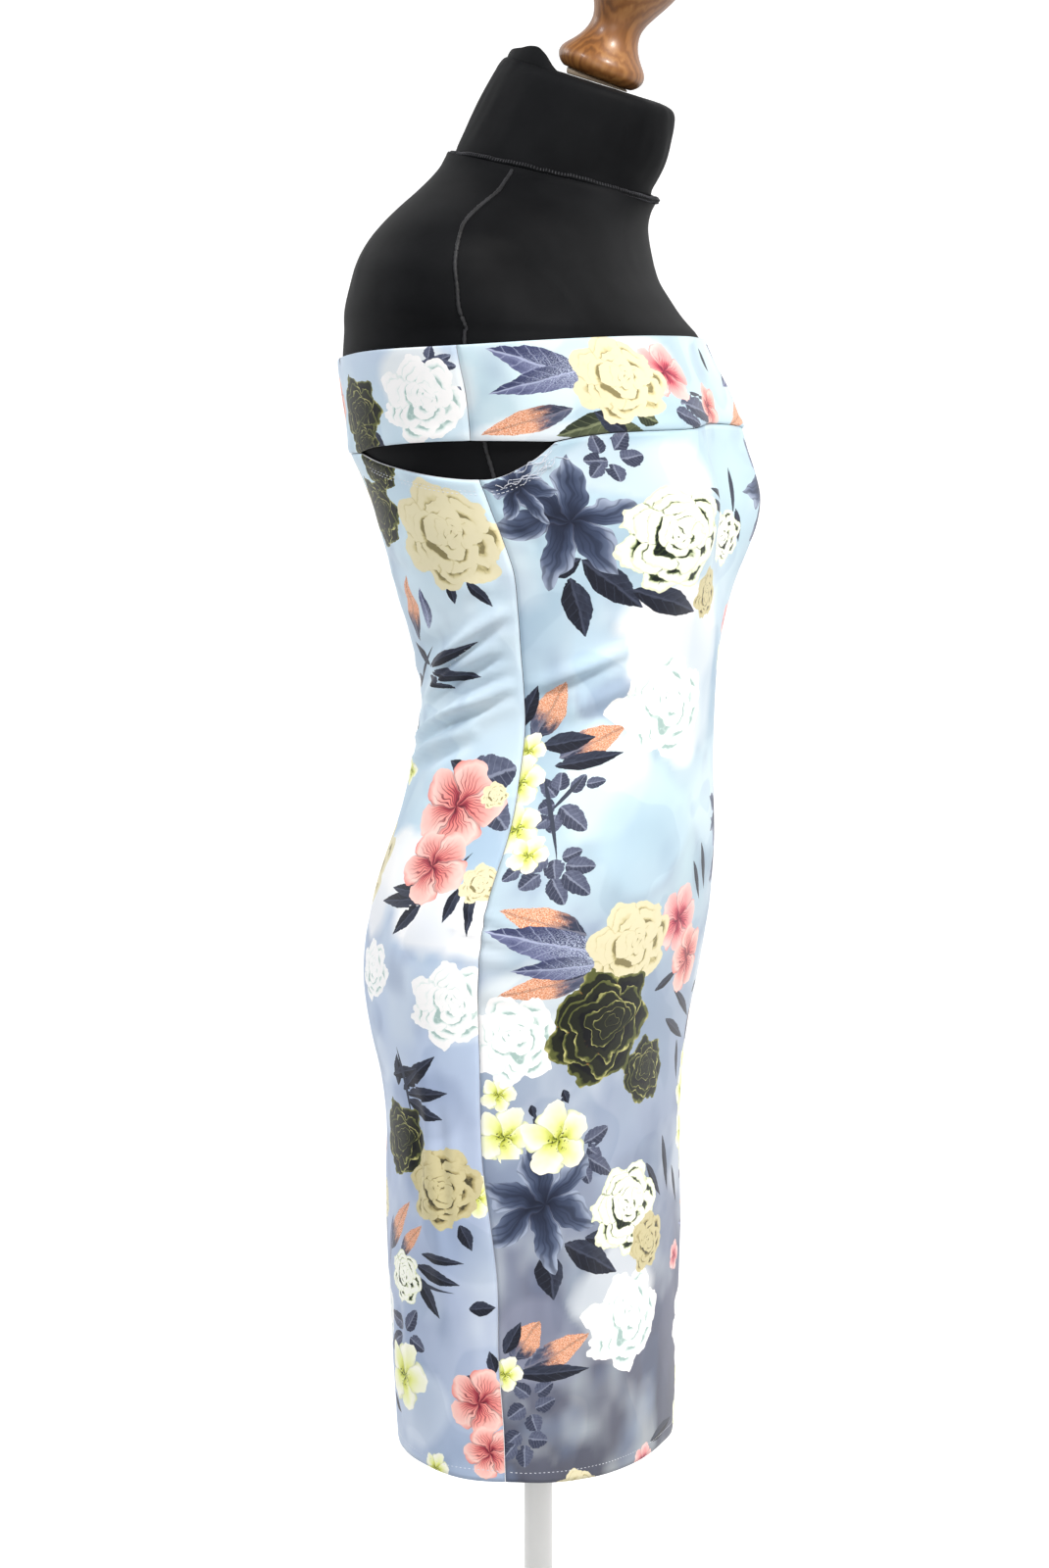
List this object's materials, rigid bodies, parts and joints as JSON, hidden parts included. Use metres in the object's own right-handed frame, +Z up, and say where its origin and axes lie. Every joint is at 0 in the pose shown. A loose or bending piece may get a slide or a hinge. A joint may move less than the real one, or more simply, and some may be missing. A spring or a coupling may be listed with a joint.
{
  "type": "off-shoulder dress on dress form",
  "caption": "Fitted knee-length off-shoulder dress in floral stretch knit with a folded shoulder band, on a limbless dress form with a turned wooden finial, slim pole and round base.",
  "frame": {"origin": "centre of the base plate's underside, on the floor", "axes": "+Z up, -Y towards the front of the dress, -X towards the wearer's right side"},
  "size_m": [0.366, 0.33, 1.3711],
  "materials": {
    "dress_print": "smooth stretch knit with a printed floral, soft sheen",
    "form_cover": "black jersey",
    "neck_plate": "plain",
    "finial_wood": "varnished, glossy",
    "torso_board": "plain",
    "stand_metal": "satin white"
  },
  "bodies": {
    "root": {"front_panel": "dress_print", "back_panel": "dress_print", "band_front": "dress_print", "band_back": "dress_print", "form_torso": "form_cover", "form_neck": "form_cover", "neck_seam": "form_cover", "neck_plate": "neck_plate", "finial": "finial_wood", "torso_board": "torso_board", "top_collar": "stand_metal", "foot_collar": "stand_metal", "pole": "stand_metal", "base_plate": "stand_metal"}
  },
  "joints": []
}
